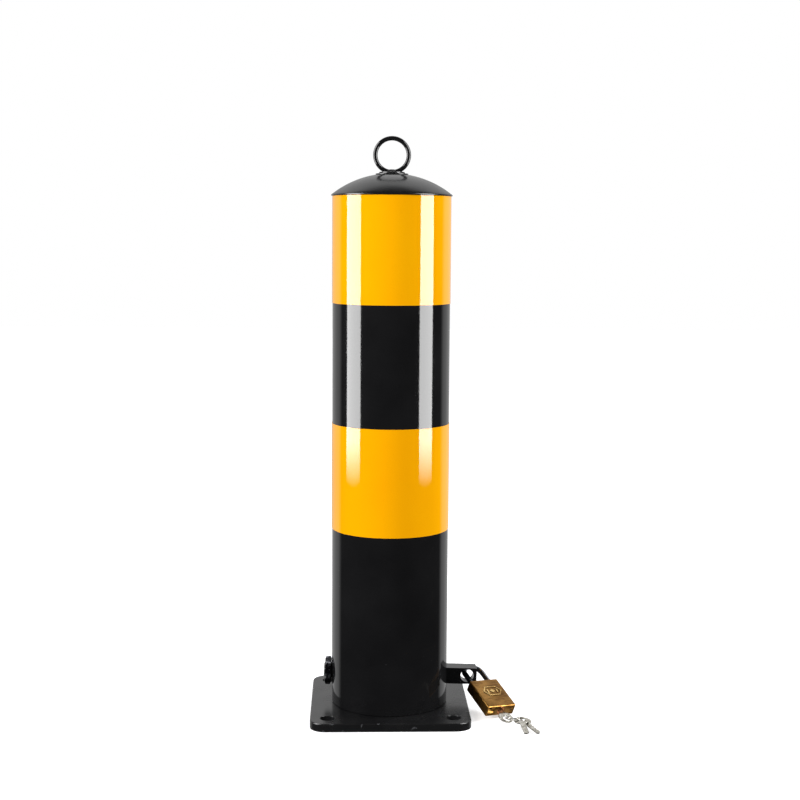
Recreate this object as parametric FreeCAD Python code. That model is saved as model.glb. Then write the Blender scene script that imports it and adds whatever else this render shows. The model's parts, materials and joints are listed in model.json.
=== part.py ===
import FreeCAD
import Part
import math
import os

# Fold-down parking post: foot plate, hinged steel post, square lock bar, brass padlock and keys.
# Millimetres. Origin: centre of the foot plate's underside. +Z up, -Y the front, +Y the folding side.

V = FreeCAD.Vector

# Foot plate
PLATE = 154.0
PLATE_T = 8.0
PLATE_CORNER = 15.0
ANCHOR_SPACING = 120.0
ANCHOR_DIA = 14.0
PLATE_EDGE = 0.8

# Post
TUBE_OD = 114.0
TUBE_WALL = 3.0
TUBE_FOOT = PLATE_T + 0.3
TUBE_TOP = 504.0
FILM_T = 0.45
BANDS = {"reflective_band_upper": (401.0, 503.6), "reflective_band_lower": (181.0, 284.5)}

# Domed end cap with its ring
CAP_OD = 117.0
CAP_LIP = 1.0
CAP_SHEET = 2.5
CAP_SPIGOT = 12.0
DOME_TOP = 525.6
SEAT_DIA = 31.6
SEAT_BUTTON_DIA = 25.4
SEAT_TOP = DOME_TOP + 1.3
RING_OD = 36.5
RING_WIRE = 4.3
RING_TOP = 561.2

# Fold hinge behind the post
HINGE_Y = 71.0
HINGE_Z = 22.0
PIN_DIA = 12.0
RUNNING_GAP = 0.05
EAR_T = 8.0
EAR_INNER = 20.0
EAR_R = 12.5
KNUCKLE_R = 12.0
BUSH_WALL = 2.0

# Lock bar and its bracket
BAR = 16.0
BAR_Y = 4.0
BAR_Z = 33.7
BAR_SAG = 1.9
BAR_RIGHT = 86.8
THREAD_DIA = 16.0
THREAD_LEFT = -64.8
SQUARE_LEFT = -50.0
SHACKLE_HOLE_X = 77.4
SHACKLE_HOLE_DIA = 13.0
HOLE_CHAMFER = 2.0
NOTCH_FRONT = -7.8
NOTCH_BACK = 15.0
NOTCH_TOP = 44.6
BRACKET_X = 27.0
BRACKET_T = 6.0
BRACKET_W = 32.0
BRACKET_TOP = 50.0
BRACKET_HOLE = BAR + 2.8
NUT_AF = 24.0
NUT_T = 6.4
NUT_TURN = 15.0

# Padlock: a block lying on the ground, leaning on its shackle
LOCK_W = 32.0
LOCK_H = 40.0
LOCK_T = 11.5
LOCK_EDGE = 1.3
LOCK_PLACE = V(91.3, -8.0, 24.2)
LOCK_YAW = 25.9
LOCK_LEAN = 66.5
LOCK_TWIST = 4.6
ROD = 5.2
LEG_SPACING = 20.0
LEG_LENGTH = 16.6
LEG_BORE = ROD + 0.6
HEEL_DEPTH = 14.0
TOE_DEPTH = 7.4
LATCH_Z = -4.4
LATCH_DIA = 4.4
PLUG_DIA = 8.8
PLUG_BORE = 9.0
PLUG_LENGTH = 22.0
TAIL_DIA = 3.0
TAIL_TOP = -6.9
PIN_HOLE = 2.6
PIN_STEPS = (21.5, 25.5, 29.5, 33.5)
KEYWAY_W = 1.9
KEYWAY_H = 6.2

# Keys and their ring
KEY_T = 1.2
KEY_BLADE_W = 5.4
KEY_BLADE = 19.0
BOW_DIA = 14.5
BOW_HOLE = 7.6
BOW_RIM = 1.5
BOW_NECK = 2.6
KEY_RING_R = 8.4
KEY_RING_WIRE = 1.0
KEY_RING_HEADING = -38.0
KEY_RING_RISE = 8.0
KEY_RING_TILT = 24.0
SPARE_SLOPE = 6.0
SPARES = {"spare_key_1": (-20.0, 205.0), "spare_key_2": (4.0, 184.0)}


def box(x0, y0, z0, x1, y1, z1):
    return Part.makeBox(x1 - x0, y1 - y0, z1 - z0, V(x0, y0, z0))


def rod(start, direction, radius, length):
    return Part.makeCylinder(radius, length, V(*start), V(*direction))


def tube(start, direction, outer, inner, length):
    return rod(start, direction, outer, length).cut(rod(start, direction, inner, length))


def slab(points, thickness, direction):
    """A flat plate of the given outline, pushed along direction."""
    outline = Part.makePolygon([V(*p) for p in points] + [V(*points[0])])
    push = V(*direction)
    return Part.Face(outline).extrude(push.multiply(thickness))


def turned(points):
    """A solid of revolution about Z from an outline of (radius, height) points."""
    outline = Part.makePolygon([V(r, 0, z) for r, z in points + points[:1]])
    return Part.Face(outline).revolve(V(0, 0, 0), V(0, 0, 1), 360)


def hexagon(across_flats, thickness):
    """A nut blank about X with both ends chamfered."""
    corner = across_flats / math.sqrt(3)
    angles = [math.radians(60 * i) for i in range(6)]
    outline = [(0, corner * math.cos(a), corner * math.sin(a)) for a in angles]
    blank = slab(outline, thickness, (1, 0, 0))
    chamfer = corner - across_flats / 2
    cone_z = [(0, 0), (across_flats / 2 - 0.4, 0), (corner, chamfer * 0.6), (corner, thickness - chamfer * 0.6),
              (across_flats / 2 - 0.4, thickness), (0, thickness)]
    envelope = turned(cone_z)
    envelope.rotate(V(0, 0, 0), V(0, 1, 0), 90)
    return blank.common(envelope)


# ---------------------------------------------------------------- foot

def base_plate():
    half = PLATE / 2
    plate = box(-half, -half, 0, half, half, PLATE_T)
    corners = [e for e in plate.Edges if abs(e.Vertexes[0].Z - e.Vertexes[-1].Z) > 1]
    plate = plate.makeFillet(PLATE_CORNER, corners)
    rim = [e for e in plate.Edges if min(v.Z for v in e.Vertexes) > PLATE_T - 0.01]
    plate = plate.makeChamfer(PLATE_EDGE, rim)
    reach = ANCHOR_SPACING / 2
    for x in (-reach, reach):
        for y in (-reach, reach):
            plate = plate.cut(rod((x, y, -1), (0, 0, 1), ANCHOR_DIA / 2, PLATE_T + 2))
    return plate


def hinge_ear(side):
    """An upright lug with a round head; side is -1 on the left and +1 on the right."""
    x0 = min(side * EAR_INNER, side * (EAR_INNER + EAR_T))
    head = rod((x0, HINGE_Y, HINGE_Z), (1, 0, 0), EAR_R, EAR_T)
    leg = box(x0, HINGE_Y - EAR_R, PLATE_T, x0 + EAR_T, PLATE / 2 - 1.0, HINGE_Z)
    ear = head.fuse(leg).removeSplitter()
    return ear.cut(rod((x0 - 1, HINGE_Y, HINGE_Z), (1, 0, 0), PIN_DIA / 2 + RUNNING_GAP, EAR_T + 2))


def hinge_pin():
    outer = EAR_INNER + EAR_T
    shank = rod((-outer - 0.1, HINGE_Y, HINGE_Z), (1, 0, 0), PIN_DIA / 2, 2 * outer + 10.1)
    head = rod((-outer - 4.1, HINGE_Y, HINGE_Z), (1, 0, 0), PIN_DIA / 2 + 3, 4.0)
    cross_hole = rod((outer + 6, HINGE_Y, HINGE_Z - 10), (0, 0, 1), 1.7, 20)
    tip = [e for e in shank.Edges if e.CenterOfMass.x > outer + 9]
    return shank.makeChamfer(1.2, tip).fuse(head).removeSplitter().cut(cross_hole)


def hinge_pin_washer():
    start = (EAR_INNER + EAR_T + 0.2, HINGE_Y, HINGE_Z)
    return tube(start, (1, 0, 0), 11.0, PIN_DIA / 2 + 0.3, 2.0)


def hinge_split_pin():
    """A split pin: an eye above the hinge pin and two legs bent apart below it."""
    x = EAR_INNER + EAR_T + 6
    eye = Part.makeTorus(2.6, 0.8, V(x, HINGE_Y, HINGE_Z + PIN_DIA / 2 + 4.0), V(1, 0, 0))
    body = [eye]
    for side in (-1, 1):
        y = HINGE_Y + side * 0.75
        body.append(rod((x, y, HINGE_Z - 9.5), (0, 0, 1), 0.78, 17.6))
        foot = rod((x, y, HINGE_Z - 9.5), (0, side, -0.55), 0.78, 3.6)
        body.append(foot)
    solid = body[0]
    for piece in body[1:]:
        solid = solid.fuse(piece)
    return solid.removeSplitter()


def lock_bracket():
    """Two upright cheeks on a floor strip, each with a square hole for the bar."""
    y0 = BAR_Y - BRACKET_W / 2
    y1 = BAR_Y + BRACKET_W / 2
    outer = BRACKET_X + BRACKET_T
    bracket = box(-outer, y0, PLATE_T, outer, y1, PLATE_T + BRACKET_T)
    for x in (-outer, BRACKET_X):
        bracket = bracket.fuse(box(x, y0, PLATE_T, x + BRACKET_T, y1, BRACKET_TOP))
    bracket = bracket.removeSplitter()
    tops = [e for e in bracket.Edges if abs(e.CenterOfMass.z - BRACKET_TOP) < 0.01 and e.Length < BRACKET_T + 1]
    bracket = bracket.makeFillet(8.0, tops)
    h = BRACKET_HOLE / 2
    return bracket.cut(box(-outer - 1, BAR_Y - h, BAR_Z - h, outer + 1, BAR_Y + h, BAR_Z + h))


# ---------------------------------------------------------------- post

def post_tube():
    height = TUBE_TOP - TUBE_FOOT
    shell = tube((0, 0, TUBE_FOOT), (0, 0, 1), TUBE_OD / 2, TUBE_OD / 2 - TUBE_WALL, height)
    notch = box(-TUBE_OD, NOTCH_FRONT, 0, TUBE_OD, NOTCH_BACK, NOTCH_TOP)
    return shell.cut(notch)


def film(low, high):
    return tube((0, 0, low), (0, 0, 1), TUBE_OD / 2 + FILM_T, TUBE_OD / 2, high - low)


def hinge_knuckle():
    """A sleeve for the bush with a web that runs forward to the back of the tube."""
    half = EAR_INNER - 0.4
    sleeve = rod((-half, HINGE_Y, HINGE_Z), (1, 0, 0), KNUCKLE_R, 2 * half)
    web = box(-half, TUBE_OD / 2 - 12, HINGE_Z - 8, half, HINGE_Y, HINGE_Z + KNUCKLE_R)
    body = sleeve.fuse(web).removeSplitter()
    body = body.cut(rod((0, 0, 0), (0, 0, 1), TUBE_OD / 2, 100))
    return body.cut(rod((-half - 1, HINGE_Y, HINGE_Z), (1, 0, 0), PIN_DIA / 2 + RUNNING_GAP + BUSH_WALL, 2 * half + 2))


def hinge_bush():
    half = EAR_INNER - 0.2
    inner = PIN_DIA / 2 + RUNNING_GAP
    return tube((-half, HINGE_Y, HINGE_Z), (1, 0, 0), inner + BUSH_WALL, inner, 2 * half)


def dome_radius():
    half = CAP_OD / 2
    rise = DOME_TOP - (TUBE_TOP + CAP_LIP)
    return (half * half + rise * rise) / (2 * rise)


def end_cap():
    """A pressed dome with a short lip over the tube and a spigot inside it."""
    radius = dome_radius()
    centre = V(0, 0, DOME_TOP - radius)
    top = Part.makeSphere(radius, centre).common(rod((0, 0, TUBE_TOP), (0, 0, 1), CAP_OD / 2, 40))
    rim = [e for e in top.Edges if abs(e.CenterOfMass.z - TUBE_TOP - CAP_LIP) < 0.05 and e.Length > CAP_OD]
    top = top.makeFillet(0.8, rim[:1])
    hollow = Part.makeSphere(radius - CAP_SHEET, centre).common(
        rod((0, 0, TUBE_TOP - 1), (0, 0, 1), TUBE_OD / 2 - TUBE_WALL - 0.3 - CAP_SHEET, 40))
    spigot_outer = TUBE_OD / 2 - TUBE_WALL - 0.3
    spigot = tube((0, 0, TUBE_TOP - CAP_SPIGOT), (0, 0, 1), spigot_outer, spigot_outer - CAP_SHEET, CAP_SPIGOT + 0.5)
    return top.cut(hollow).fuse(spigot).removeSplitter()


def ring_seat():
    """A turned disc on the crown of the dome: a raised button inside a shallow groove and a thin collar."""
    outer = SEAT_DIA / 2
    button = SEAT_BUTTON_DIA / 2
    low = DOME_TOP - 3
    profile = [(0, low), (outer, low), (outer, DOME_TOP - 0.55), (outer - 0.5, DOME_TOP - 0.2),
               (outer - 1.1, DOME_TOP - 0.2), (button + 0.6, DOME_TOP - 0.8), (button, DOME_TOP - 0.2),
               (button - 0.5, SEAT_TOP), (0, SEAT_TOP)]
    radius = dome_radius()
    return turned(profile).cut(Part.makeSphere(radius, V(0, 0, DOME_TOP - radius)))


def lifting_ring():
    """A wire ring standing on edge, set in a small fillet of weld on the seat."""
    wire = RING_WIRE / 2
    centre = RING_TOP - RING_OD / 2
    ring = Part.makeTorus(RING_OD / 2 - wire, wire, V(0, 0, centre), V(0, 1, 0))
    weld = turned([(0, SEAT_TOP), (6.4, SEAT_TOP), (4.4, SEAT_TOP + 0.8), (2.9, SEAT_TOP + 2.4), (0, SEAT_TOP + 2.4)])
    above = box(-RING_OD, -RING_OD, SEAT_TOP, RING_OD, RING_OD, RING_TOP + 5)
    return ring.common(above).fuse(weld).removeSplitter()


# ---------------------------------------------------------------- lock bar

def sagged(shape):
    """The bar lies loose in its bracket, so the padlock's weight draws its right end down a little."""
    shape.rotate(V(0, BAR_Y, BAR_Z), V(0, 1, 0), BAR_SAG)
    return shape


def lock_bar():
    half = BAR / 2
    square = box(SQUARE_LEFT, BAR_Y - half, BAR_Z - half, BAR_RIGHT, BAR_Y + half, BAR_Z + half)
    end = [e for e in square.Edges if min(v.X for v in e.Vertexes) > BAR_RIGHT - 0.01]
    square = square.makeChamfer(0.5, end)
    length = SQUARE_LEFT - THREAD_LEFT
    stud = rod((THREAD_LEFT, BAR_Y, BAR_Z), (1, 0, 0), THREAD_DIA / 2 - 0.05, length)
    stud = stud.makeChamfer(1.0, [e for e in stud.Edges if e.CenterOfMass.x < THREAD_LEFT + 0.01])
    bar = square.fuse(stud).removeSplitter()
    r = SHACKLE_HOLE_DIA / 2
    start = (SHACKLE_HOLE_X, BAR_Y - half - 1, BAR_Z)
    bar = bar.cut(rod(start, (0, 1, 0), r, BAR + 2))
    for side in (-1, 1):
        mouth = V(SHACKLE_HOLE_X, BAR_Y + side * (half + 0.01), BAR_Z)
        flare = Part.makeCone(r + HOLE_CHAMFER, r, HOLE_CHAMFER, mouth, V(0, -side, 0))
        bar = bar.cut(flare)
    return sagged(bar)


def lock_bar_nut():
    nut = hexagon(NUT_AF, NUT_T)
    nut = nut.cut(rod((-1, 0, 0), (1, 0, 0), THREAD_DIA / 2, NUT_T + 2))
    nut.rotate(V(0, 0, 0), V(1, 0, 0), NUT_TURN)
    nut.translate(V(-TUBE_OD / 2 - 0.5 - NUT_T, BAR_Y, BAR_Z))
    return sagged(nut)


# ---------------------------------------------------------------- padlock
# Made upright: X across the width, Y from front to back, Z up the shackle, origin at the middle of the
# top face. lock_placement() then lays it down.

def lock_placement():
    turn = FreeCAD.Rotation(V(0, 0, 1), LOCK_YAW)
    lean = FreeCAD.Rotation(V(1, 0, 0), -LOCK_LEAN)
    twist = FreeCAD.Rotation(V(0, 0, 1), LOCK_TWIST)
    return FreeCAD.Placement(LOCK_PLACE, turn.multiply(lean).multiply(twist))


def laid(shape):
    shape = shape.copy()
    shape.Placement = lock_placement().multiply(shape.Placement)
    return shape


def shackle():
    """A bent rod: a long heel leg on the left, a short toe leg on the right with the latch notch."""
    r = ROD / 2
    x = LEG_SPACING / 2
    heel = rod((-x, 0, -HEEL_DEPTH), (0, 0, 1), r, HEEL_DEPTH + LEG_LENGTH)
    toe = rod((x, 0, -TOE_DEPTH), (0, 0, 1), r, TOE_DEPTH + LEG_LENGTH)
    toe = toe.makeChamfer(0.8, [e for e in toe.Edges if e.CenterOfMass.z < -TOE_DEPTH + 0.01])
    bow = Part.makeTorus(x, r, V(0, 0, LEG_LENGTH), V(0, 1, 0))
    bow = bow.common(box(-LOCK_W, -r - 1, LEG_LENGTH, LOCK_W, r + 1, LEG_LENGTH + LOCK_W))
    body = heel.fuse(bow).fuse(toe).removeSplitter()
    gap = x - r + 1.4
    return body.cut(box(x - r - 1, -r - 1, LATCH_Z - 2.4, gap, r + 1, LATCH_Z + 2.4))


def padlock_body():
    w = LOCK_W / 2
    t = LOCK_T / 2
    block = box(-w, -t, -LOCK_H, w, t, 0)
    block = block.makeFillet(LOCK_EDGE, block.Edges)
    x = LEG_SPACING / 2
    cuts = [rod((-x, 0, -HEEL_DEPTH - 1), (0, 0, 1), LEG_BORE / 2, HEEL_DEPTH + 3),
            rod((x, 0, -TOE_DEPTH - 1.5), (0, 0, 1), LEG_BORE / 2, TOE_DEPTH + 4),
            rod((-7.2, 0, LATCH_Z), (1, 0, 0), LATCH_DIA / 2 + 0.2, 14.6),
            rod((0, 0, -LOCK_H - 1), (0, 0, 1), PLUG_BORE / 2, PLUG_LENGTH + 1.3),
            rod((0, 0, -LOCK_H), (0, 0, 1), TAIL_DIA / 2 + 0.3, LOCK_H + LATCH_Z),
            rod((x + 1.4, 0, -LOCK_H - 1), (0, 0, 1), 1.1, 7)]
    for step in PIN_STEPS:
        cuts.append(rod((-w - 1, 0, -step), (1, 0, 0), PIN_HOLE / 2, w + 1))
    for cut in cuts:
        block = block.cut(cut)
    return block


def cylinder_plug():
    """The turning plug with its keyway, the pin holes in its left side and a thin tail up to the latch."""
    r = PLUG_DIA / 2
    plug = rod((0, 0, -LOCK_H + 0.25), (0, 0, 1), r, PLUG_LENGTH - 0.25)
    plug = plug.makeChamfer(0.3, [e for e in plug.Edges if e.CenterOfMass.z < -LOCK_H + 0.3 and e.Length > 10])
    keyway = box(-KEYWAY_H / 2, -KEYWAY_W / 2, -LOCK_H - 1, KEYWAY_H / 2, KEYWAY_W / 2, -LOCK_H + PLUG_LENGTH - 1.5)
    plug = plug.cut(keyway)
    for step in PIN_STEPS:
        plug = plug.cut(rod((-r - 1, 0, -step), (1, 0, 0), PIN_HOLE / 2, r + 1))
    root = -LOCK_H + PLUG_LENGTH
    return plug.fuse(rod((0, 0, root - 1), (0, 0, 1), TAIL_DIA / 2, TAIL_TOP - root + 1)).removeSplitter()


def pin_row(x0, length, radius):
    """One short pin in each pin hole."""
    return Part.makeCompound([rod((x0, 0, -step), (1, 0, 0), radius, length) for step in PIN_STEPS])


def pin_springs():
    """Four small coil springs behind the driver pins."""
    springs = []
    for step in PIN_STEPS:
        springs.append(coil(V(-12.6, 0, -step), 4.3, 0.85, 0.17, 0.9))
    return Part.makeCompound(springs)


def coil(start, length, radius, wire, pitch):
    """A close-wound spring that runs from start along +X: a thin sleeve with one ridge for each turn."""
    turns = int(length / pitch)
    step = length / turns
    outline = [(radius - wire, length), (radius - wire, 0)]
    for i in range(turns):
        outline += [(radius, i * step), (radius + wire, (i + 0.5) * step)]
    spring = turned(outline + [(radius, length)])
    spring.rotate(V(0, 0, 0), V(0, 1, 0), 90)
    spring.translate(start)
    return spring


def latch_bolt():
    start = (-1.6, 0, LATCH_Z)
    bolt = rod(start, (1, 0, 0), LATCH_DIA / 2, 8.4)
    return bolt.makeChamfer(0.9, [e for e in bolt.Edges if e.CenterOfMass.x > 6.7])


def latch_spring():
    return coil(V(-7.0, 0, LATCH_Z), 3.8, 1.5, 0.28, 1.2)


def cylinder_retainer():
    return rod((LEG_SPACING / 2 + 1.4, 0, -LOCK_H + 0.8), (0, 0, 1), 1.05, 5)


# ---------------------------------------------------------------- keys
# A key is made upright about its own origin: blade up +Z, bow below, flat sides facing Y.

BOW_CENTRE = -BOW_NECK - BOW_DIA / 2
EYE = -BOW_NECK - BOW_DIA + BOW_RIM + BOW_HOLE / 2


def flat_key():
    """A small flat key: round bow with a hole, a neck, and a blade with four cuts in its left edge."""
    t = KEY_T
    half = KEY_BLADE_W / 2
    bow = rod((0, -t / 2, BOW_CENTRE), (0, 1, 0), BOW_DIA / 2, t)
    bow = bow.fuse(box(-half, -t / 2, BOW_CENTRE, half, t / 2, 0))
    bow = bow.cut(rod((0, -t, EYE), (0, 1, 0), BOW_HOLE / 2, 2 * t))
    outline = [(-half, 0), (half, 0), (half, KEY_BLADE - 1), (half - 2.2, KEY_BLADE), (-half + 1.2, KEY_BLADE - 1.6)]
    for i in range(4):
        z = KEY_BLADE - 3.0 - 4.0 * i
        depth = 1.1 + 0.5 * ((i * 2) % 3)
        outline += [(-half + 0.3, z), (-half + depth, z - 1.2), (-half + 0.3, z - 2.6)]
    blade = slab([(x, -t / 2, z) for x, z in outline], t, (0, 1, 0))
    return bow.fuse(blade).removeSplitter()


def key():
    shape = flat_key()
    shape.translate(V(0, 0, -LOCK_H))
    return laid(shape)


def ring_frame():
    """Centre of the key ring and two directions in its plane; the ring passes through the key's eye."""
    eye = lock_placement().multVec(V(0, 0, EYE - LOCK_H))
    heading = math.radians(KEY_RING_HEADING)
    rise = math.radians(KEY_RING_RISE)
    out = V(math.cos(heading) * math.cos(rise), math.sin(heading) * math.cos(rise), math.sin(rise))
    level = V(math.sin(heading), -math.cos(heading), 0)
    tilt = FreeCAD.Rotation(level.cross(V(0, 0, 1)), KEY_RING_TILT)
    across = tilt.multVec(level)
    across = across.sub(out * across.dot(out)).normalize()
    return eye.add(out * KEY_RING_R), out, across


def key_ring():
    centre, out, across = ring_frame()
    return Part.makeTorus(KEY_RING_R, KEY_RING_WIRE / 2, centre, out.cross(across))


def spare_key(angle, heading):
    """A spare key whose eye is on the ring at the given angle; its blade points away along the ground."""
    centre, out, across = ring_frame()
    turn = math.radians(angle)
    point = centre.add(out * (KEY_RING_R * math.cos(turn))).add(across * (KEY_RING_R * math.sin(turn)))
    rotation = FreeCAD.Rotation(V(0, 0, 1), heading).multiply(FreeCAD.Rotation(V(1, 0, 0), -90 - SPARE_SLOPE))
    shape = flat_key()
    shape.Placement = FreeCAD.Placement(point.sub(rotation.multVec(V(0, 0, EYE))), rotation)
    return shape


NODES = {
    "base_plate": base_plate,
    "hinge_ear_left": lambda: hinge_ear(-1),
    "hinge_ear_right": lambda: hinge_ear(1),
    "hinge_pin": hinge_pin,
    "hinge_pin_washer": hinge_pin_washer,
    "hinge_split_pin": hinge_split_pin,
    "lock_bracket": lock_bracket,
    "post_tube": post_tube,
    "hinge_knuckle": hinge_knuckle,
    "hinge_bush": hinge_bush,
    "end_cap": end_cap,
    "ring_seat": ring_seat,
    "lifting_ring": lifting_ring,
    "lock_bar": lock_bar,
    "lock_bar_nut": lock_bar_nut,
    "shackle": lambda: laid(shackle()),
    "padlock_body": lambda: laid(padlock_body()),
    "cylinder_plug": lambda: laid(cylinder_plug()),
    "key_pins": lambda: laid(pin_row(-4.2, 1.4, PIN_HOLE / 2 - 0.15)),
    "driver_pins": lambda: laid(pin_row(-7.9, 3.2, PIN_HOLE / 2 - 0.15)),
    "pin_springs": lambda: laid(pin_springs()),
    "pin_plugs": lambda: laid(pin_row(-LOCK_W / 2, 3.2, PIN_HOLE / 2)),
    "latch_bolt": lambda: laid(latch_bolt()),
    "latch_spring": lambda: laid(latch_spring()),
    "cylinder_retainer": lambda: laid(cylinder_retainer()),
    "key": key,
}
NODES["key_ring"] = key_ring
for spare, (angle, heading) in SPARES.items():
    NODES[spare] = lambda angle=angle, heading=heading: spare_key(angle, heading)
for band, (low, high) in BANDS.items():
    NODES[band] = lambda low=low, high=high: film(low, high)

os.makedirs("parts", exist_ok=True)
for name, make in NODES.items():
    shape = make()
    shape.exportStep("parts/" + name + ".step")
    print(name, "solids", len(shape.Solids), "valid", shape.isValid(), "volume", round(shape.Volume, 1))
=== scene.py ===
# %% [markdown]
# # A fold-down parking post
# The object is a steel post on a foot plate, banded black and yellow. It is held upright by a square bar
# and a brass padlock. This lesson gives the finished parts their surfaces, adds the small things that a
# drawing leaves out, such as weld beads, and lights them as in a small studio.
# The parts come as a fixed frame: each one is a named object that already stands in its place.

# %% Load the frame
import bpy
import bmesh
import json
import math
from mathutils import Matrix, Vector


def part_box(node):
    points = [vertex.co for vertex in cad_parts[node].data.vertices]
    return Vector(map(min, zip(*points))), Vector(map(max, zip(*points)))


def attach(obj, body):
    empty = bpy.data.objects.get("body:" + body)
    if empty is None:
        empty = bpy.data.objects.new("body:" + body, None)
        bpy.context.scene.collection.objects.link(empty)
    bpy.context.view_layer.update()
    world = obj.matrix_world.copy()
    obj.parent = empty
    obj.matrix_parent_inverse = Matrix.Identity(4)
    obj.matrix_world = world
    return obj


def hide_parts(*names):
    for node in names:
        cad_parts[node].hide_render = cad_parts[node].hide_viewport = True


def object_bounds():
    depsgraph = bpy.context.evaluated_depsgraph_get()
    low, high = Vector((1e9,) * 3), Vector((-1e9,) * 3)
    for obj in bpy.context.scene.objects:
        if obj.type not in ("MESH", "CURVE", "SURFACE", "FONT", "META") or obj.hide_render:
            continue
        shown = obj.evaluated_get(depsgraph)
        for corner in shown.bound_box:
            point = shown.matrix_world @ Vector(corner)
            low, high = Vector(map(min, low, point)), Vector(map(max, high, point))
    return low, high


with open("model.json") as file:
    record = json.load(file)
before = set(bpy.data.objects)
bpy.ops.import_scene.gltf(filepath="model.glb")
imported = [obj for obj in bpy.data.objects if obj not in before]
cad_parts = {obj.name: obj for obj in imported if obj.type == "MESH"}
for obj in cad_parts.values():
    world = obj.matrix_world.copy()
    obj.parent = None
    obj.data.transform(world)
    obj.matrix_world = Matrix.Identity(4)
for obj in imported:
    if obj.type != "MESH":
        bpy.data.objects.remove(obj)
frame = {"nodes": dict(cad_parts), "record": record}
cad_low, cad_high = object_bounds()
nodes = frame["nodes"]
body_of_node = {n: b for b, names in frame["record"]["behaviour"]["bodies"].items() for n in names}
MM = 0.001
print("parts", len(nodes), "box", [round(v, 4) for v in (*cad_low, *cad_high)])

# %% [markdown]
# Nearly every place in this file comes from the parts themselves. The padlock lies at an angle, so its own
# directions are read from its joints: the shackle slides out along the lock's length and the latch
# slides across its width.

# %% Directions of the padlock
joints = {j["name"]: j for j in frame["record"]["behaviour"]["joints"]}
lock_down = Vector(joints["shackle_release"]["axis"]).normalized()
lock_across = -Vector(joints["latch_slide"]["axis"]).normalized()
lock_back = lock_across.cross(lock_down).normalized()
LOCK_LENGTH = 40 * MM
LOCK_THICKNESS = 11.5 * MM
lock_matrix = Matrix((lock_across, lock_back, -lock_down)).transposed().to_4x4()
lock_matrix.translation = Vector(joints["key_turn"]["pos_m"])
print("the lock leans", round(math.degrees(math.asin(-lock_down.z)), 1), "degrees below level")

# %% [markdown]
# Colours are written as the hex values that a paint chart or a screen gives. Blender mixes light in linear
# values, so one function turns the one into the other.

# %% Hex colours
def linear(hex_colour):
    channels = [int(hex_colour[i:i + 2], 16) / 255 for i in (1, 3, 5)]
    return tuple(c / 12.92 if c <= 0.04045 else ((c + 0.055) / 1.055) ** 2.4 for c in channels) + (1.0,)


WHITE = linear("#FFFFFF")
print("mid grey #808080 is", round(linear("#808080")[0], 3), "in linear light")

# %% [markdown]
# One more function adds any node, with its settings as keywords and its sockets in a dictionary. A socket
# takes a plain value, another node's output, or another node, whose first output is then used. Long node
# names get short ones here. A Map Range node's first five sockets are its value, the range that the value
# comes from and the range that it is spread over.

# %% One function for every node
MATH, RANGE, MIX = "ShaderNodeMath", "ShaderNodeMapRange", "ShaderNodeMix"
RAMP, BUMP, VECTOR = "ShaderNodeValToRGB", "ShaderNodeBump", "ShaderNodeVectorMath"
PLACE, SPLIT, CELLS = "ShaderNodeTexCoord", "ShaderNodeSeparateXYZ", "ShaderNodeTexVoronoi"
SHADER, OUTPUT = "ShaderNodeBsdfPrincipled", "ShaderNodeOutputMaterial"


def add(tree, kind, sockets=None, stops=(), **settings):
    made = tree.nodes.new(kind)
    for name, value in settings.items():
        setattr(made, name, value)
    for i, (place, hex_colour) in enumerate(stops):
        elements = made.color_ramp.elements
        element = elements[i] if i < 2 else elements.new(place)
        element.position, element.color = place, linear(hex_colour)
    for name, value in (sockets or {}).items():
        value = value.outputs[0] if isinstance(value, bpy.types.Node) else value
        if isinstance(value, bpy.types.NodeSocket):
            tree.links.new(value, made.inputs[name])
        else:
            made.inputs[name].default_value = value
    return made


def new_material(name):
    material = bpy.data.materials.new(name)
    material.use_nodes = True
    material.node_tree.nodes.clear()
    return material, material.node_tree


print("short names stand for", MATH, RANGE, MIX, "and", RAMP)

# %% [markdown]
# Nearly every surface here varies by noise: clouds in paint, lines in brushed metal, blotches of tarnish.
# The noise is asked for by the size of its cells in metres, so that each one can be checked against the real
# thing. Stretching the cells along one axis turns them into brush lines, and a matrix turns them with a part
# that stands at an angle.

# %% Noise by its real size
def grain(tree, size, detail=3.0, stretch=(1, 1, 1), matrix=None):
    point = add(tree, PLACE).outputs["Object"]
    if matrix is not None:
        frame_of = {"Vector": point, "Location": matrix.translation, "Rotation": matrix.to_euler()}
        point = add(tree, "ShaderNodeMapping", frame_of, vector_type="TEXTURE")
    point = add(tree, "ShaderNodeMapping", {"Vector": point, "Scale": [1 / s for s in stretch]})
    return add(tree, "ShaderNodeTexNoise", {"Vector": point, "Scale": 1 / size, "Detail": detail})


print("a 2 mm cell is a noise scale of", 1 / (2 * MM))

# %% [markdown]
# ## Black stove enamel
# Foot plate, post, cap, ring and lock bar are steel under black stove enamel. Sprayed enamel is glossy, but
# it dries with a faint orange peel, so its reflections waver a little. Dust that fell on it leaves pale
# specks. One function makes the coat. It can be told where the coat is chipped bare, or where painted shade
# makes it darker and duller, and what shows there.

# %% Enamel
PEEL = 2.6 * MM
SPECK = 9 * MM


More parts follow.
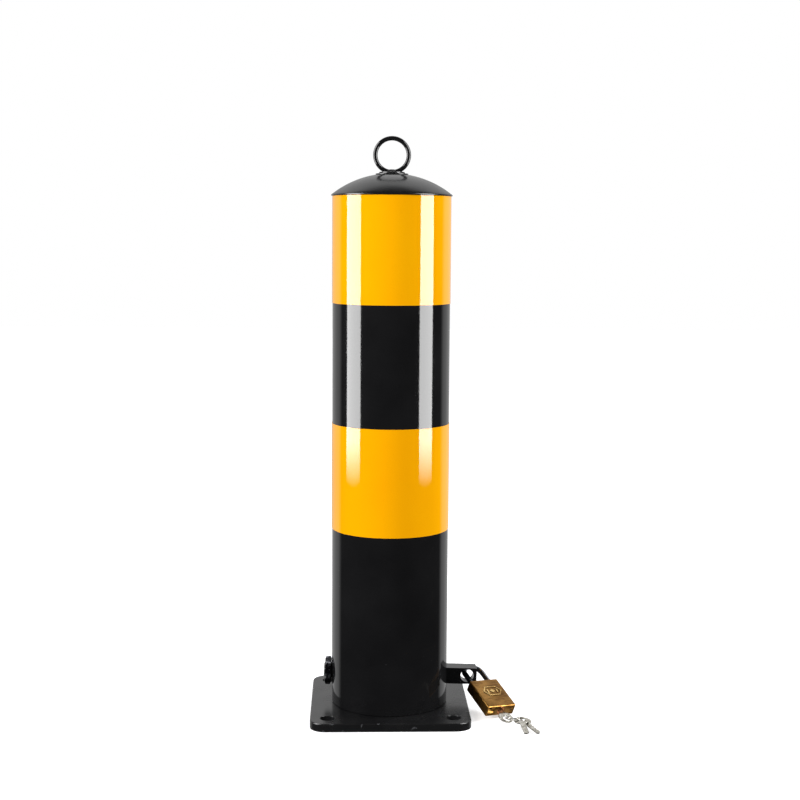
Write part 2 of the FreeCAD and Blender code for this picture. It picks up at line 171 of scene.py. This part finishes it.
def black_enamel(name, gloss_rough, where=None, colour_there="#000000", rough_there=0.5, metal_there=False):
    material, tree = new_material(name)
    colour = add(tree, RAMP, {0: grain(tree, 60 * MM, 4.0)}, [(0.3, "#111112"), (0.7, "#19191A")])
    dust = add(tree, CELLS, {"Vector": add(tree, PLACE).outputs["Object"], "Scale": 1 / SPECK})
    dust = add(tree, RANGE, {0: dust.outputs["Distance"], 1: 0.045, 2: 0.02})
    dusty = add(tree, RANGE, {0: grain(tree, 35 * MM), 1: 0.52, 2: 0.6})
    fleck = add(tree, MATH, {0: dust, 1: dusty}, operation="MULTIPLY")
    colour = add(tree, MIX, {0: fleck, 6: colour, 7: linear("#5A5A5E")}, data_type="RGBA").outputs[2]
    cloud = {0: grain(tree, 22 * MM, 5.0), 1: 0.3, 2: 0.7, 3: gloss_rough * 0.8, 4: gloss_rough * 1.25}
    rough = add(tree, RANGE, cloud)
    sockets = {"Base Color": colour, "Roughness": rough, "IOR": 1.5}
    if where is not None:
        # Where the mask is set, colour_there shows instead: bare grey steel in the plate's chips, or painted
        # shade (near-black) in the seat's groove.
        chip_or_painted_shade = where(tree)
        colour = add(tree, MIX, {0: chip_or_painted_shade, 6: colour, 7: linear(colour_there)}, data_type="RGBA").outputs[2]
        rough = add(tree, MIX, {0: chip_or_painted_shade, 2: rough, 3: rough_there})
        sockets |= {"Base Color": colour, "Roughness": rough}
        if metal_there:
            sockets["Metallic"] = chip_or_painted_shade
    peel = {"Height": grain(tree, PEEL, 2.0), "Distance": 0.012 * MM, "Strength": 1.0}
    sockets["Normal"] = add(tree, BUMP, peel)
    add(tree, OUTPUT, {"Surface": add(tree, SHADER, sockets)})
    return material


print("enamel peel", PEEL / MM, "mm, dust specks about every", SPECK / MM, "mm")

# %% [markdown]
# The foot plate is kicked and driven over, so along its rim the coat is chipped and bare grey steel shows.
# The rim is where a point lies furthest out along X or Y, and noise breaks it into short stretches.

# %% Chips on the rim
def chipped_rim(tree):
    axes = add(tree, SPLIT, {0: add(tree, PLACE).outputs["Object"]}).outputs
    out_x = add(tree, MATH, {0: axes[0]}, operation="ABSOLUTE")
    out_y = add(tree, MATH, {0: axes[1]}, operation="ABSOLUTE")
    reach = add(tree, MATH, {0: out_x, 1: out_y}, operation="MAXIMUM")
    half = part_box("base_plate")[1][0]
    rim = add(tree, RANGE, {0: reach, 1: half - 1.2 * MM, 2: half - 0.3 * MM})
    patches = add(tree, RANGE, {0: grain(tree, 6 * MM, 5.0), 1: 0.65, 2: 0.71})
    return add(tree, MATH, {0: rim, 1: patches}, operation="MULTIPLY", use_clamp=True)


# %% [markdown]
# The disc that the lifting ring stands on has a groove pressed round it. Little light gets into the groove,
# so its colour is painted darker than the rest as painted shade, and it is made duller as well. Its mask is a
# band of distances from the post's axis.

# %% Painted shade in the groove
SEAT_BUTTON = 12.7 * MM
GROOVE = 2.0 * MM


# Mask for painted shade: the groove's colour is darkened because little light reaches it.
def groove_painted_shade(tree):
    point = add(tree, PLACE).outputs["Object"]
    flat = add(tree, VECTOR, {0: point, 1: (1, 1, 0)}, operation="MULTIPLY")
    radius = add(tree, VECTOR, {0: flat}, operation="LENGTH").outputs["Value"]
    outer = SEAT_BUTTON + GROOVE
    rise = add(tree, RANGE, {0: radius, 1: SEAT_BUTTON, 2: SEAT_BUTTON + 0.4 * MM})
    fall = add(tree, RANGE, {0: radius, 1: outer + 0.2 * MM, 2: outer - 0.2 * MM})
    return add(tree, MATH, {0: rise, 1: fall}, operation="MULTIPLY")


print("groove from", SEAT_BUTTON / MM, "to", (SEAT_BUTTON + GROOVE) / MM, "mm from the axis")

# %% [markdown]
# Four enamels come from the one function. The post is nearly a mirror. The plate, the cap and the seat on
# it are duller, so their reflections are soft. The plate has bare chips on its rim, and the seat has painted
# shade in its groove.

# %% The four enamels
enamel = black_enamel("black_stove_enamel", 0.07)
enamel_plate = black_enamel("black_stove_enamel_chipped", 0.24, chipped_rim, "#77787C", 0.38, True)
enamel_cap = black_enamel("black_stove_enamel_satin", 0.22)
# The seat's groove colour #050506 is painted shade, darker than the enamel, and the groove is rougher too.
enamel_seat = black_enamel("black_stove_enamel_grooved", 0.22, groove_painted_shade, "#050506", 0.85)
print("enamels", [m.name for m in (enamel, enamel_plate, enamel_cap, enamel_seat)])

# %% [markdown]
# ## Yellow reflective film
# The bands are sheets of retroreflective film: a clear glossy face over yellow, with tiny beads or prisms
# behind it. To the eye it is a deep warm yellow under a lacquer. The beads or prisms are a few tenths of a
# millimetre across or less, too fine to see, so they are drawn coarser, at about two millimetres, and only
# just show.

# %% Film
CELL = 2.2 * MM


def reflective_film():
    material, tree = new_material("yellow_reflective_film")
    colour = add(tree, RAMP, {0: grain(tree, 90 * MM)}, [(0.3, "#FFAC00"), (0.7, "#FFB300")])
    lattice = {"Vector": add(tree, PLACE).outputs["Object"], "Scale": 1 / CELL}
    edge = add(tree, CELLS, lattice, feature="DISTANCE_TO_EDGE").outputs["Distance"]
    seam = add(tree, RANGE, {0: edge, 1: 0.0, 2: 0.08, 3: 0.06, 4: 0.0})
    colour = add(tree, MIX, {0: seam, 6: colour, 7: linear("#C87800")}, data_type="RGBA").outputs[2]
    wave = {"Height": grain(tree, 30 * MM, 2.0), "Distance": 0.03 * MM, "Strength": 1.0}
    sockets = {"Base Color": colour, "Roughness": 0.5, "IOR": 1.5, "Specular IOR Level": 0.0}
    sockets |= {"Coat Weight": 1.0, "Coat Roughness": 0.025, "Coat IOR": 1.56}
    sockets["Coat Normal"] = add(tree, BUMP, wave)
    add(tree, OUTPUT, {"Surface": add(tree, SHADER, sockets)})
    return material


film = reflective_film()
print("film cells", CELL / MM, "mm")

# %% [markdown]
# ## Bare metals
# All the bare metals are made by one recipe: a base colour, fine lines left by brushing or turning, and
# blotches of tarnish. A metal keeps the default IOR. What differs is the colour, which way the lines run
# and how much has darkened. Brush lines are really about a tenth of a millimetre apart. They are drawn at
# about half a millimetre, because finer ones blur away.

# %% One recipe for metals
def bare_metal(name, light, dark, rough, line, stretch, matrix=None, depth=0.01 * MM, tarnish=14 * MM):
    material, tree = new_material(name)
    lines = grain(tree, line, 4.0, stretch, matrix)
    line_part = add(tree, MATH, {0: lines, 1: 0.45}, operation="MULTIPLY")
    patch_part = add(tree, MATH, {0: grain(tree, tarnish, 5.0), 1: 0.55}, operation="MULTIPLY")
    mixed = add(tree, MATH, {0: line_part, 1: patch_part}, operation="ADD")
    colour = add(tree, RAMP, {0: mixed}, [(0.36, dark), (0.56, light)])
    roughness = add(tree, RANGE, {0: mixed, 1: 0.35, 2: 0.6, 3: rough * 1.35, 4: rough * 0.75})
    normal = add(tree, BUMP, {"Height": lines, "Distance": depth, "Strength": 1.0})
    sockets = {"Base Color": colour, "Metallic": 1.0, "Roughness": roughness, "Normal": normal}
    add(tree, OUTPUT, {"Surface": add(tree, SHADER, sockets)})
    return material


BRUSHED = (14, 1, 1)
FINE = 0.5 * MM
print("brush lines", FINE / MM, "mm apart and", BRUSHED[0] * FINE / MM, "mm long")

# %% [markdown]
# The padlock is brass, brushed across its width and browned by hands and weather. Its raised mark is rubbed
# clean. The cylinder plug is turned from rod and its copper looks redder. The rod's streaks run along it, so
# on its face, which is all that shows, they are seen end on as a fine mottle.

# %% The padlock's metals
brass = bare_metal("brushed_brass", "#AC8043", "#5A3814", 0.34, FINE, BRUSHED, lock_matrix, 0.02 * MM)
polished = bare_metal("rubbed_brass", "#F0CC86", "#A87C3C", 0.22, FINE, BRUSHED, lock_matrix)
copper = bare_metal("turned_copper", "#E0955F", "#8A4A26", 0.28, 0.4 * MM, (1, 1, 10), lock_matrix)
# Chrome is polished before it is plated: it mirrors its surroundings and shows almost no lines.
chrome = bare_metal("chromed_steel", "#C9CBD0", "#8E9096", 0.10, 2 * MM, (1, 1, 1), None, 0.002 * MM)
# Nickel over stamped brass is bright and faintly warm, with small dull patches where keys rub together.
SMALL_PATCH = 5 * MM
nickel = bare_metal("nickel_plated_brass", "#D8D5CC", "#8C8778", 0.20, FINE, (1, 8, 1),
                    depth=0.006 * MM, tarnish=SMALL_PATCH)
print("padlock metals", [m.name for m in (brass, polished, copper, chrome, nickel)])

# %% [markdown]
# The hinge has zinc-plated fasteners, which are pale and a little cloudy, and a bronze bush, which is brown
# and keeps the turning lines. Springs are hard drawn wire, greyer than zinc and finely streaked.

# %% The hinge's metals
zinc = bare_metal("zinc_plated_steel", "#C4C6C8", "#85888C", 0.30, 0.7 * MM, (6, 1, 1))
bronze = bare_metal("turned_bronze", "#B98A4E", "#6B4A24", 0.35, FINE, (1, 8, 8))
wire = bare_metal("drawn_spring_steel", "#B0B2B5", "#6C6E72", 0.28, 0.4 * MM, (8, 1, 1))
print("hinge metals", [m.name for m in (zinc, bronze, wire)])

# %% [markdown]
# ## The blackened nut
# The nut is black oxide on steel. Spanners rub its corners bright, and the corners are the points
# furthest from the bar's axis, so the distance from that axis says where the metal shows.

# %% Nut
def blackened_steel():
    material, tree = new_material("black_oxide_steel")
    low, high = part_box("lock_bar_nut")
    middle = [(low[i] + high[i]) / 2 for i in range(3)]
    centred = add(tree, VECTOR, {0: add(tree, PLACE).outputs["Object"], 1: middle}, operation="SUBTRACT")
    flat = add(tree, VECTOR, {0: centred, 1: (0, 1, 1)}, operation="MULTIPLY")
    radius = add(tree, VECTOR, {0: flat}, operation="LENGTH").outputs["Value"]
    corner = add(tree, RANGE, {0: radius, 1: 12.3 * MM, 2: 13.2 * MM})
    rubbed = add(tree, RANGE, {0: grain(tree, 3 * MM, 5.0), 1: 0.40, 2: 0.58})
    corner = add(tree, MATH, {0: corner, 1: rubbed}, operation="MULTIPLY", use_clamp=True)
    nicks = add(tree, RANGE, {0: grain(tree, 2 * MM, 4.0), 1: 0.62, 2: 0.70})
    wear = add(tree, MATH, {0: corner, 1: nicks}, operation="MAXIMUM")
    colour = add(tree, RAMP, {0: wear}, [(0.0, "#202024"), (1.0, "#A9ABB2")])
    rough = add(tree, RANGE, {0: wear, 1: 0.0, 2: 1.0, 3: 0.42, 4: 0.25})
    normal = add(tree, BUMP, {"Height": grain(tree, 1.2 * MM, 4.0), "Distance": 0.03 * MM, "Strength": 1.0})
    sockets = {"Base Color": colour, "Metallic": 1.0, "Roughness": rough, "Normal": normal}
    add(tree, OUTPUT, {"Surface": add(tree, SHADER, sockets)})
    return material


blackened = blackened_steel()
print("nut finish", blackened.name)

# %% [markdown]
# ## Smooth copies of the parts
# A drawing's solids arrive as flat triangles with razor edges. Real steel has rounded edges that catch the
# light. Each part is copied, its doubled points are merged, flat faces are joined, and a small bevel goes on
# every sharp edge. The copy then stands for the part. The part itself stays untouched underneath.
# First come two helpers: one hands a made piece to its body, and one turns modifiers into a plain mesh.

# %% Finish a piece
def finished(obj, material, body):
    obj.data.materials.clear()
    obj.data.materials.append(material)
    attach(obj, body)
    return obj


def baked(obj):
    view = bpy.context.evaluated_depsgraph_get()
    mesh = bpy.data.meshes.new_from_object(obj.evaluated_get(view))
    obj.modifiers.clear()
    obj.data = mesh
    return obj


def placed(name, mesh):
    obj = bpy.data.objects.new(name, mesh)
    bpy.context.scene.collection.objects.link(obj)
    return obj


# %% [markdown]
# An edge counts as sharp where its two faces turn by more than 28 degrees. That is above the small steps of
# a round tube and below every chamfer. Smooth shading with hardened normals keeps flat faces flat.

# %% Copy, join and bevel
SHARP = math.radians(28)
SAME_PLACE = 0.002 * MM
SAME_PLANE = math.radians(0.3)


def merged_copy(node):
    mesh = nodes[node].data.copy()
    work = bmesh.new()
    work.from_mesh(mesh)
    bmesh.ops.remove_doubles(work, verts=work.verts, dist=SAME_PLACE)
    bmesh.ops.dissolve_limit(work, angle_limit=SAME_PLANE, verts=work.verts, edges=work.edges)
    for face in work.faces:
        face.smooth = True
    for line in work.edges:
        line.smooth = len(line.link_faces) == 2 and line.calc_face_angle(0.0) < SHARP
    work.to_mesh(mesh)
    work.free()
    return placed(node + "_surface", mesh)


def smooth_copy(node, edge, material):
    obj = merged_copy(node)
    if edge:
        rounding = obj.modifiers.new("edge", "BEVEL")
        rounding.width, rounding.segments = edge, 2
        rounding.limit_method, rounding.angle_limit = "ANGLE", SHARP
        rounding.harden_normals = True
        rounding.use_clamp_overlap = True
        baked(obj)
    finished(obj, material, body_of_node[node])
    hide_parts(node)
    return len(obj.data.polygons)


print("sharp above", round(math.degrees(SHARP)), "degrees")

# %% [markdown]
# Each part has its own edge, in millimetres, and its finish. Sawn and folded plate is rounded by about half a
# millimetre, turned parts by about a quarter, and the padlock and its keys by less. Wire has no edges.
# Parts that are sealed inside keep their own mesh and only get a metal.

# %% Edges and finishes
EDGES = {
    "base_plate": (0.5, enamel_plate), "post_tube": (0.3, enamel), "end_cap": (0.25, enamel_cap),
    "ring_seat": (0.1, enamel_seat), "lifting_ring": (0.0, enamel), "lock_bar": (0.35, enamel),
    "lock_bracket": (0.5, enamel_plate), "hinge_knuckle": (0.4, enamel), "hinge_ear_left": (0.4, enamel),
    "hinge_ear_right": (0.4, enamel), "lock_bar_nut": (0.25, blackened), "hinge_pin": (0.3, zinc),
    "hinge_pin_washer": (0.2, zinc), "hinge_split_pin": (0.0, zinc), "hinge_bush": (0.2, bronze),
    "reflective_band_upper": (0.08, film), "reflective_band_lower": (0.08, film), "shackle": (0.1, chrome),
    "padlock_body": (0.12, brass), "cylinder_plug": (0.08, copper), "cylinder_retainer": (0.08, zinc),
    "key": (0.15, nickel), "spare_key_1": (0.15, nickel), "spare_key_2": (0.15, nickel),
    "key_ring": (0.0, nickel),
}
INSIDE = {"key_pins": brass, "driver_pins": brass, "pin_plugs": brass, "pin_springs": wire,
          "latch_spring": wire, "latch_bolt": wire}
faces = [smooth_copy(name, edge * MM, material) for name, (edge, material) in EDGES.items()]
for name, material in INSIDE.items():
    nodes[name].data.materials.clear()
    nodes[name].data.materials.append(material)
print("surfaces", len(faces), "faces", sum(faces), "inner parts", len(INSIDE))

# %% [markdown]
# ## Weld beads
# The hinge ears and the bracket are welded to the plate, the knuckle to the post and the ring to its seat.
# A hand-laid bead is a row of overlapping scales, each one where the welder paused. Geometry Nodes lay one
# flattened drop at every step along a path, turn it along the path and vary its size a little.

# %% The bead tree
INPUTS = {"Path": "Geometry", "Width": "Float", "Step": "Float", "Seed": "Int", "Finish": "Material"}


def bead_tree():
    tree = bpy.data.node_groups.new("weld_bead", "GeometryNodeTree")
    for label, kind in INPUTS.items():
        tree.interface.new_socket(label, in_out="INPUT", socket_type="NodeSocket" + kind)
    tree.interface.new_socket("Bead", in_out="OUTPUT", socket_type="NodeSocketGeometry")
    given = add(tree, "NodeGroupInput").outputs
    curve = add(tree, "GeometryNodeMeshToCurve", {0: given["Path"]})
    spots = add(tree, "GeometryNodeCurveToPoints", {"Curve": curve, "Length": given["Step"]}, mode="LENGTH")
    drop = add(tree, "GeometryNodeMeshUVSphere", {"Segments": 10, "Rings": 6, "Radius": given["Width"]})
    drop = add(tree, "GeometryNodeTransform", {"Geometry": drop, "Scale": (1.0, 1.0, 0.55)})
    size = add(tree, "FunctionNodeRandomValue", {2: 0.85, 3: 1.12, "Seed": given["Seed"]}).outputs[1]
    row = {"Points": spots.outputs["Points"], "Rotation": spots.outputs["Rotation"]}
    row |= {"Instance": drop, "Scale": size}
    scales = add(tree, "GeometryNodeInstanceOnPoints", row)
    solid = add(tree, "GeometryNodeRealizeInstances", {0: scales})
    solid = add(tree, "GeometryNodeSetShadeSmooth", {0: solid})
    solid = add(tree, "GeometryNodeSetMaterial", {0: solid, "Material": given["Finish"]})
    add(tree, "NodeGroupOutput", {0: solid})
    return tree


BEADS = bead_tree()
print("bead tree inputs", list(INPUTS))

# %% [markdown]
# A weld is one object. Its mesh starts as bare edges along the paths, the tree grows the scales on them, and
# the result is kept as a plain mesh. A modifier's inputs go by each socket's identifier.

# %% Lay a weld
def weld(name, body, paths, width, step, finish, seed):
    mesh = bpy.data.meshes.new(name)
    points, lines = [], []
    for path in paths:
        first = len(points)
        points += path
        lines += [(first + i, first + i + 1) for i in range(len(path) - 1)]
    mesh.from_pydata([tuple(p) for p in points], lines, [])
    obj = placed(name, mesh)
    grow = obj.modifiers.new("bead", "NODES")
    grow.node_group = BEADS
    values = {"Width": width, "Step": step, "Seed": seed, "Finish": finish}
    for item in BEADS.interface.items_tree:
        if item.name in values:
            grow[item.identifier] = values[item.name]
    finished(baked(obj), finish, body)
    print(name, len(obj.data.polygons), "faces")


print("the bead tree has", len(BEADS.nodes), "nodes")

# %% [markdown]
# The ears are welded along both sides, up to where the plate ends, and the bracket all round its foot. A fat
# bead has long scales, so width and step grow together.

# %% Welds on the plate
plate_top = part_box("base_plate")[1][2]
plate_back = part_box("base_plate")[1][1]


def ear_paths(ear):
    low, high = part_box(ear)
    ends = (low[1] + 1 * MM, min(high[1], plate_back) - 3 * MM)
    sides = (low[0] - 0.4 * MM, high[0] + 0.4 * MM)
    return [[Vector((x, y, plate_top)) for y in ends] for x in sides]


def foot_loop(node, gap):
    low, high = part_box(node)
    xs, ys = (low[0] - gap, high[0] + gap), (low[1] - gap, high[1] + gap)
    corners = [(xs[0], ys[0]), (xs[1], ys[0]), (xs[1], ys[1]), (xs[0], ys[1]), (xs[0], ys[0])]
    return [Vector((x, y, plate_top)) for x, y in corners]


both_ears = ear_paths("hinge_ear_left") + ear_paths("hinge_ear_right")
weld("ear_welds", "base", both_ears, 1.7 * MM, 1.3 * MM, enamel_plate, 3)
weld("bracket_weld", "base", [foot_loop("lock_bracket", 0.6 * MM)], 2.0 * MM, 1.5 * MM, enamel_plate, 5)

# %% [markdown]
# The knuckle's two welds run up the post where the knuckle's sides meet the tube, so their depth follows
# from the circle. The ring's weld is a small circle round the foot of the ring.

# %% Welds on the post
knuckle_low, knuckle_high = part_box("hinge_knuckle")
tube_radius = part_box("post_tube")[1][0]
seam_depth = math.sqrt(tube_radius ** 2 - knuckle_high[0] ** 2)
heights = (knuckle_low[2] + 5 * MM, knuckle_high[2] - 1 * MM)
seams = [[Vector((x, seam_depth, z)) for z in heights] for x in (-knuckle_high[0], knuckle_high[0])]
weld("knuckle_welds", "post", seams, 1.8 * MM, 1.4 * MM, enamel, 7)

RING_WELD = 4.6 * MM
seat_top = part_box("ring_seat")[1][2] + 0.2 * MM
turns = [math.radians(a) for a in range(0, 361, 15)]
loop = [Vector((RING_WELD * math.cos(a), RING_WELD * math.sin(a), seat_top)) for a in turns]
weld("ring_weld", "post", [loop], 1.2 * MM, 1.1 * MM, enamel, 11)

# %% [markdown]
# ## The join in the film
# Each band is one strip wrapped round the post, and its ends overlap at the back. The overlap is a thin
# second layer about a centimetre wide. It is a slice of a slightly larger cylinder.

# %% Film overlaps
OVERLAP = 12 * MM
LAYER = 0.25 * MM


def film_overlap(node):
    low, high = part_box(node)
    half_turn = math.asin(OVERLAP / 2 / high[0])
    steps = 8
    mesh = bmesh.new()
    rows = []
    for radius in (high[0] - 0.1 * MM, high[0] + LAYER):
        for z in (low[2] + 0.05 * MM, high[2] - 0.05 * MM):
            turns = [half_turn * (2 * i / steps - 1) for i in range(steps + 1)]
            rows.append([mesh.verts.new((radius * math.sin(t), radius * math.cos(t), z)) for t in turns])
    in_low, in_high, out_low, out_high = rows
    for i in range(steps):
        for a, b in ((out_low, out_high), (in_high, in_low), (out_high, in_high), (in_low, out_low)):
            mesh.faces.new((a[i], b[i], b[i + 1], a[i + 1]))
    for end in (0, steps):
        mesh.faces.new((in_low[end], in_high[end], out_high[end], out_low[end]))
    bmesh.ops.recalc_face_normals(mesh, faces=mesh.faces)
    data = bpy.data.meshes.new(node + "_overlap")
    mesh.to_mesh(data)
    mesh.free()
    finished(placed(node + "_overlap", data), film, "post")
    print(node, "overlaps by", OVERLAP / MM, "mm")


for band in ("reflective_band_upper", "reflective_band_lower"):
    film_overlap(band)

# %% [markdown]
# ## The raised mark on the padlock
# Cast padlocks carry a raised mark on the front. Here it is a plain one: a long hexagon with a diamond
# between two bars. Its outlines are drawn flat, in millimetres across and along the lock.

# %% Outlines of the mark
def hexagon(half_width, half_height):
    shoulder = half_width - half_height * 0.7
    return [(-half_width, 0), (-shoulder, -half_height), (shoulder, -half_height),
            (half_width, 0), (shoulder, half_height), (-shoulder, half_height)]


def diamond(half):
    return [(-half, 0), (0, -half), (half, 0), (0, half)]


def bar(x, half_width, half_height):
    return [(x - half_width, -half_height), (x + half_width, -half_height),
            (x + half_width, half_height), (x - half_width, half_height)]


mark = [(hexagon(10.5, 6.4), hexagon(9.2, 5.2)), (diamond(2.9), None)]
mark += [(bar(x, 0.8, 2.4), None) for x in (-5.2, 5.2)]
print("mark outlines", len(mark))

# %% [markdown]
# Each outline is stood on the lock's front face and raised by half a millimetre. Two rings make a hollow
# frame and one ring a solid boss. Its rims are rounded so that they catch the light.

# %% Raise the mark
MARK_HEIGHT = 0.5 * MM
MARK_ROOT = -0.05 * MM
MARK_ACROSS = 1.0 * MM
MARK_ALONG = LOCK_LENGTH - 17.5 * MM


def on_front(x, z, out):
    return lock_matrix @ Vector((MARK_ACROSS + x * MM, -LOCK_THICKNESS / 2 - out, MARK_ALONG + z * MM))


def raise_outline(mesh, outer, inner):
    rings = [ring for ring in (outer, inner) if ring]
    tops = [[mesh.verts.new(on_front(x, z, MARK_HEIGHT)) for x, z in ring] for ring in rings]
    feet = [[mesh.verts.new(on_front(x, z, MARK_ROOT)) for x, z in ring] for ring in rings]
    for i in range(len(outer)):
        j = (i + 1) % len(outer)
        mesh.faces.new((tops[0][i], tops[0][j], feet[0][j], feet[0][i]))
        if inner:
            mesh.faces.new((tops[1][j], tops[1][i], feet[1][i], feet[1][j]))
            mesh.faces.new((tops[0][j], tops[0][i], tops[1][i], tops[1][j]))
            mesh.faces.new((feet[0][i], feet[0][j], feet[1][j], feet[1][i]))
    if not inner:
        mesh.faces.new(tops[0])
        mesh.faces.new(feet[0][::-1])


def raised_mark():
    mesh = bmesh.new()
    for outer, inner in mark:
        raise_outline(mesh, outer, inner)
    bmesh.ops.recalc_face_normals(mesh, faces=mesh.faces)
    data = bpy.data.meshes.new("padlock_mark")
    mesh.to_mesh(data)
    mesh.free()
    obj = placed("padlock_mark", data)
    rounding = obj.modifiers.new("edge", "BEVEL")
    rounding.width, rounding.segments = 0.12 * MM, 2
    rounding.limit_method = "ANGLE"
    finished(baked(obj), polished, "padlock")
    print("mark", len(obj.data.polygons), "faces")


raised_mark()

# %% [markdown]
# ## Floor and sky
# Goods like this are shown on a white floor between tall soft boxes. The floor glows a little, so that it
# stays white. It is hidden from reflections and bounced light, so that the glossy foot stays black.

# %% Floor
def white_floor(half_side, glow):
    mesh = bpy.data.meshes.new("floor")
    corners = [(x * half_side, y * half_side, 0) for x, y in ((-1, -1), (1, -1), (1, 1), (-1, 1))]
    mesh.from_pydata(corners, [], [(0, 1, 2, 3)])
    floor = placed("floor", mesh)
    material, tree = new_material("white_floor")
    colour = add(tree, RAMP, {0: grain(tree, 0.4)}, [(0.3, "#F6F6F8"), (0.7, "#FBFBFC")])
    sockets = {"Base Color": colour, "Roughness": 0.6, "IOR": 1.4}
    sockets |= {"Emission Color": WHITE, "Emission Strength": glow}
    add(tree, OUTPUT, {"Surface": add(tree, SHADER, sockets)})
    mesh.materials.append(material)
    floor.visible_glossy = False
    floor.visible_diffuse = False


white_floor(6.0, 0.45)
scene = bpy.context.scene
scene.view_settings.view_transform = "Standard"
print("floor laid, view transform", scene.view_settings.view_transform)

# %% [markdown]
# The sky does three jobs, and the kind of ray decides which. Seen directly it is plain white. For soft
# shading it is bright above and dim below. In reflections it is dark except behind the object, where
# a glossy side mirrors it at a shallow angle, and far below, where the room's floor would be.

# %% Sky
world = bpy.data.worlds.new("studio")
scene.world = world
world.use_nodes = True
sky = world.node_tree
sky.nodes.clear()
axes = add(sky, SPLIT, {0: add(sky, PLACE).outputs["Generated"]}).outputs
behind = add(sky, RANGE, {0: axes[1], 1: 0.38, 2: 0.54})
upward = add(sky, RANGE, {0: axes[2], 1: 0.25, 2: 0.85, 3: 0.58, 4: 1.1})
downward = add(sky, RANGE, {0: axes[2], 1: -0.4, 2: -0.75, 3: 0.02, 4: 0.6})
mirrored = add(sky, MATH, {0: behind, 1: upward}, operation="MULTIPLY")
mirrored = add(sky, MATH, {0: mirrored, 1: downward}, operation="ADD")
shading = add(sky, RANGE, {0: axes[2], 1: -0.1, 2: 0.1, 3: 0.28, 4: 0.70})
ray = add(sky, "ShaderNodeLightPath").outputs
power = add(sky, MIX, {0: ray["Is Glossy Ray"], 2: shading, 3: mirrored})
power = add(sky, MIX, {0: ray["Is Camera Ray"], 2: power, 3: 1.0})
back = add(sky, "ShaderNodeBackground", {"Color": WHITE, "Strength": power})
add(sky, "ShaderNodeOutputWorld", {"Surface": back})
print("sky nodes", len(sky.nodes))

# %% [markdown]
# ## Soft boxes and lamps
# On a glossy post each soft box shows as a bright upright stripe, and its edges are the stripe's edges. The
# boxes only make reflections, and they reach only the first mirror, so a stripe never shows twice. The
# lamps and the sky do the shading, so the stripes' strength can be set without bleaching the yellow.

# %% Soft boxes
BOX_DISTANCE = 0.9
BOX_HEIGHTS = (0.086, 1.5)
BOX_FADE = 0.07
BOX_STRENGTH = 12.5


def soft_box(name, start, end):
    """An upright glowing sheet between two compass angles seen from the post, fading out at its foot."""
    turns = [math.radians(a) for a in (start, end, end, start)]
    heights = [BOX_HEIGHTS[i] for i in (0, 0, 1, 1)]
    corners = [(BOX_DISTANCE * math.sin(a), -BOX_DISTANCE * math.cos(a), z) for a, z in zip(turns, heights)]
    mesh = bpy.data.meshes.new(name)
    mesh.from_pydata(corners, [], [(0, 1, 2, 3)])
    sheet = placed(name, mesh)
    material, tree = new_material(name)
    height = add(tree, SPLIT, {0: add(tree, PLACE).outputs["Object"]}).outputs[2]
    foot = BOX_HEIGHTS[0]
    glow = add(tree, RANGE, {0: height, 1: foot, 2: foot + BOX_FADE, 3: 0.0, 4: BOX_STRENGTH})
    bounces = add(tree, "ShaderNodeLightPath").outputs["Glossy Depth"]
    first_mirror = add(tree, MATH, {0: bounces, 1: 1.5}, operation="LESS_THAN")
    glow = add(tree, MATH, {0: glow, 1: first_mirror}, operation="MULTIPLY")
    shine = add(tree, "ShaderNodeEmission", {"Color": WHITE, "Strength": glow})
    add(tree, OUTPUT, {"Surface": shine})
    mesh.materials.append(material)
    sheet.visible_camera = False
    sheet.visible_diffuse = False
    sheet.visible_shadow = False
    print(name, "spans", end - start, "degrees")


soft_box("soft_box_left", -94, -61)
soft_box("soft_box_right", 54, 84)

# %% [markdown]
# Two square lamps shade the object: one in front on the left, and one beside it on the right that lights
# the film's right edge. Both are hidden from reflections.

# %% Lamps
LAMP_SIDE = 0.5
post_middle = Vector((0, 0, cad_high[2] / 2))


def lamp(name, place, power):
    data = bpy.data.lights.new(name, "AREA")
    data.shape, data.size, data.energy = "SQUARE", LAMP_SIDE, power
    obj = placed(name, data)
    obj.location = place
    obj.rotation_euler = (post_middle - Vector(place)).to_track_quat("-Z", "Y").to_euler()
    obj.visible_camera = False
    obj.visible_glossy = False
    print(name, power, "W")


lamp("front_left", (-1.5, -1.5, 1.1), 40)
lamp("right_rim", (1.95, 0.35, 0.9), 42)

# %% [markdown]
# ## Camera
# The lens is a fairly long one, just under the height of the post's top, a little left of the post and
# tipped down. It is also shifted down slightly, so it has to tip less and the post's sides stay nearly
# upright.

# %% Camera
CAMERA_PLACE = (-0.037, -1.397, 0.463)
CAMERA_TIP = 5.314
CAMERA_TURN = -1.881
CAMERA_ROLL = 0.356
lens = bpy.data.cameras.new("camera")
lens.sensor_width = 36.0
lens.lens = 64.83
lens.shift_y = -0.034
camera = placed("camera", lens)
turn = Matrix.Rotation(math.radians(CAMERA_TURN), 4, "Z")
tip = Matrix.Rotation(math.radians(90 - CAMERA_TIP), 4, "X")
roll = Matrix.Rotation(math.radians(CAMERA_ROLL), 4, "Z")
camera.matrix_world = Matrix.Translation(CAMERA_PLACE) @ turn @ tip @ roll
scene.camera = camera
print("camera", lens.lens, "mm, tipped", CAMERA_TIP, "degrees")
